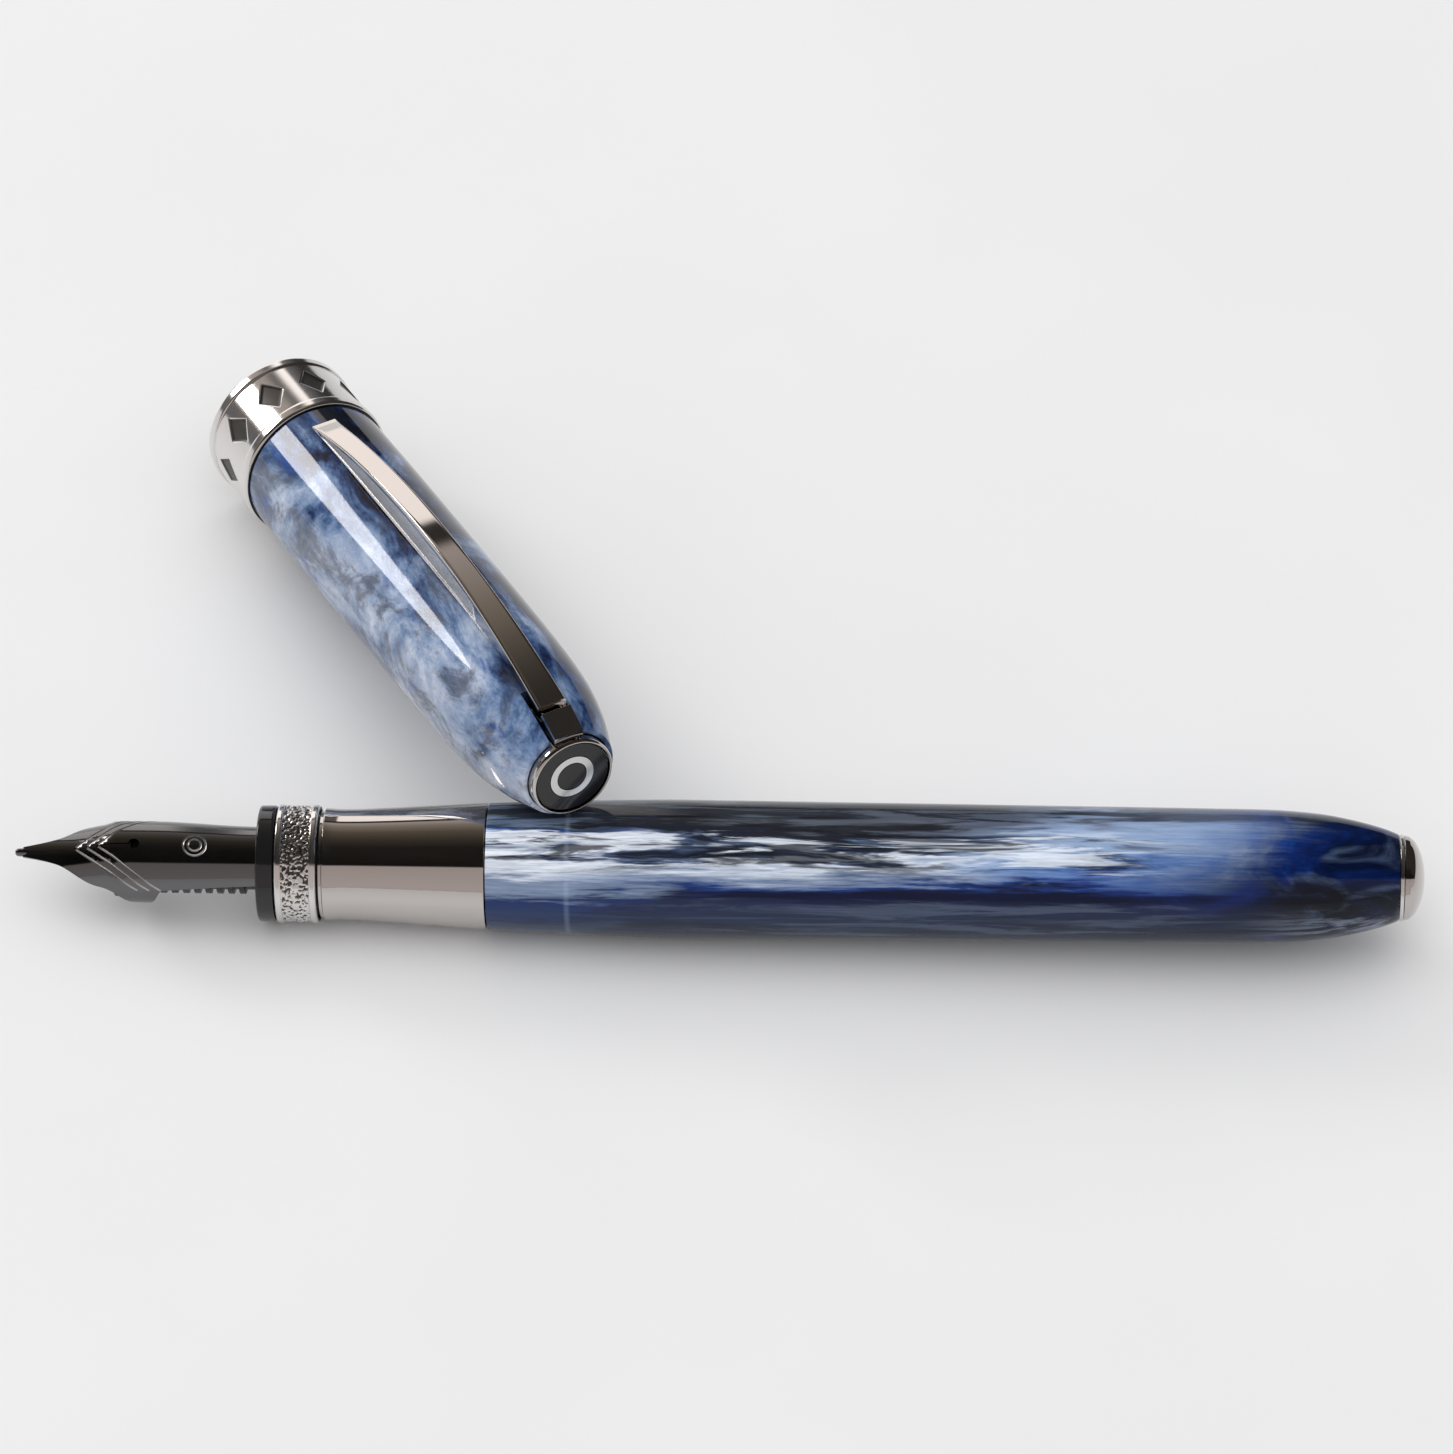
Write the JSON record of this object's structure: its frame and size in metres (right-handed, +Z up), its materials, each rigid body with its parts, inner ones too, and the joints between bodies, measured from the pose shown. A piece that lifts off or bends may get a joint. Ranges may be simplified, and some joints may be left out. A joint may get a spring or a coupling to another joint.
{
  "type": "fountain pen",
  "caption": "Open fountain pen in marbled resin with a metal grip, lying on a table with its clipped cap leaning on the barrel; it unscrews to a screw-piston converter.",
  "frame": {"origin": "on the table under the middle of the open pen and its cap", "axes": "+X along the pen from the nib to the tail, +Y away from the pen towards the cap's mouth, +Z up"},
  "size_m": [0.13, 0.0646, 0.0242],
  "materials": {
    "barrel_resin": "polished marbled resin, blue, white and charcoal streaks along the barrel",
    "cap_resin": "polished marbled resin, cloudy pale blue, white and charcoal",
    "gunmetal": "mirror-polished dark plating",
    "textured_metal": "polished rims round an etched field",
    "steel": "polished",
    "nib_metal": "polished dark plating with fine engraved lines",
    "black_gloss": "gloss",
    "feed_plastic": "moulded",
    "clear_plastic": "clear",
    "liner_plastic": "moulded",
    "rubber": "matt",
    "brass": "turned",
    "magnet": "nickel plated"
  },
  "bodies": {
    "section": {"front_ring": "black_gloss", "trim_ring": "textured_metal", "grip_shell": "gunmetal", "section_core": "liner_plastic", "section_magnet": "magnet"},
    "nib_unit": {"nib": "nib_metal", "nib_tipping": "steel", "ink_feed": "feed_plastic", "nib_housing": "feed_plastic"},
    "thread_bush": {"barrel_bush": "brass"},
    "barrel": {"barrel_shell": "barrel_resin", "tail_ring": "steel", "tail_dome": "gunmetal"},
    "converter": {"converter_mouth": "liner_plastic", "converter_tube": "clear_plastic", "converter_sleeve": "steel"},
    "knob": {"converter_knob": "black_gloss"},
    "piston": {"piston_rod": "liner_plastic", "piston_seal": "rubber"},
    "cap": {"cap_shell": "cap_resin", "cap_band": "textured_metal", "cap_liner": "liner_plastic", "cap_magnet": "magnet", "clip_bracket": "gunmetal", "clip_pin": "steel", "clip_spring": "steel", "finial_bezel": "gunmetal", "finial_nut": "brass", "finial_base_magnet": "magnet"},
    "clip": {"clip_arm": "gunmetal"},
    "finial": {"finial_magnet": "magnet", "finial_disc": "black_gloss", "finial_inlay": "steel"}
  },
  "joints": [
    {"name": "barrel_pull", "type": "slide", "parent": "section", "child": "thread_bush", "axis": [0.9997, 0, 0.0243], "range_m": [0, 0.072]},
    {"name": "barrel_turn", "type": "hinge", "parent": "thread_bush", "child": "barrel", "pos_m": [-0.02127, -0.026, 0.00592], "axis": [0.9997, 0, 0.0243], "range_deg": [0, 1260]},
    {"name": "nib_unit_pull", "type": "slide", "parent": "section", "child": "nib_unit", "axis": [-0.9997, 0, -0.0243], "range_m": [0, 0.022]},
    {"name": "converter_pull", "type": "slide", "parent": "section", "child": "converter", "axis": [0.9997, 0, 0.0243], "range_m": [0, 0.008]},
    {"name": "knob_turn", "type": "hinge", "parent": "converter", "child": "knob", "pos_m": [0.02301, -0.026, 0.00699], "axis": [0.9997, 0, 0.0243], "range_deg": [0, 2160]},
    {"name": "piston_travel", "type": "slide", "parent": "converter", "child": "piston", "axis": [0.9997, 0, 0.0243], "range_m": [0, 0.022]},
    {"name": "cap_lift", "type": "slide", "parent": "section", "child": "cap", "axis": [0, 0, 1], "range_m": [0, 0.05]},
    {"name": "clip_open", "type": "hinge", "parent": "cap", "child": "clip", "pos_m": [-0.01588, -0.02005, 0.02104], "axis": [0.8639, 0.5025, -0.0345], "range_deg": [0, 8], "stiffness_Nm_per_rad": 0.5, "springref_deg": -5.73},
    {"name": "finial_pull", "type": "slide", "parent": "cap", "child": "finial", "axis": [0.5012, -0.8508, 0.1582], "range_m": [0, 0.008]}
  ],
  "couplings": [
    {"joint": "knob_turn", "follows": "piston_travel", "rad_per_m": 1713.5}
  ]
}
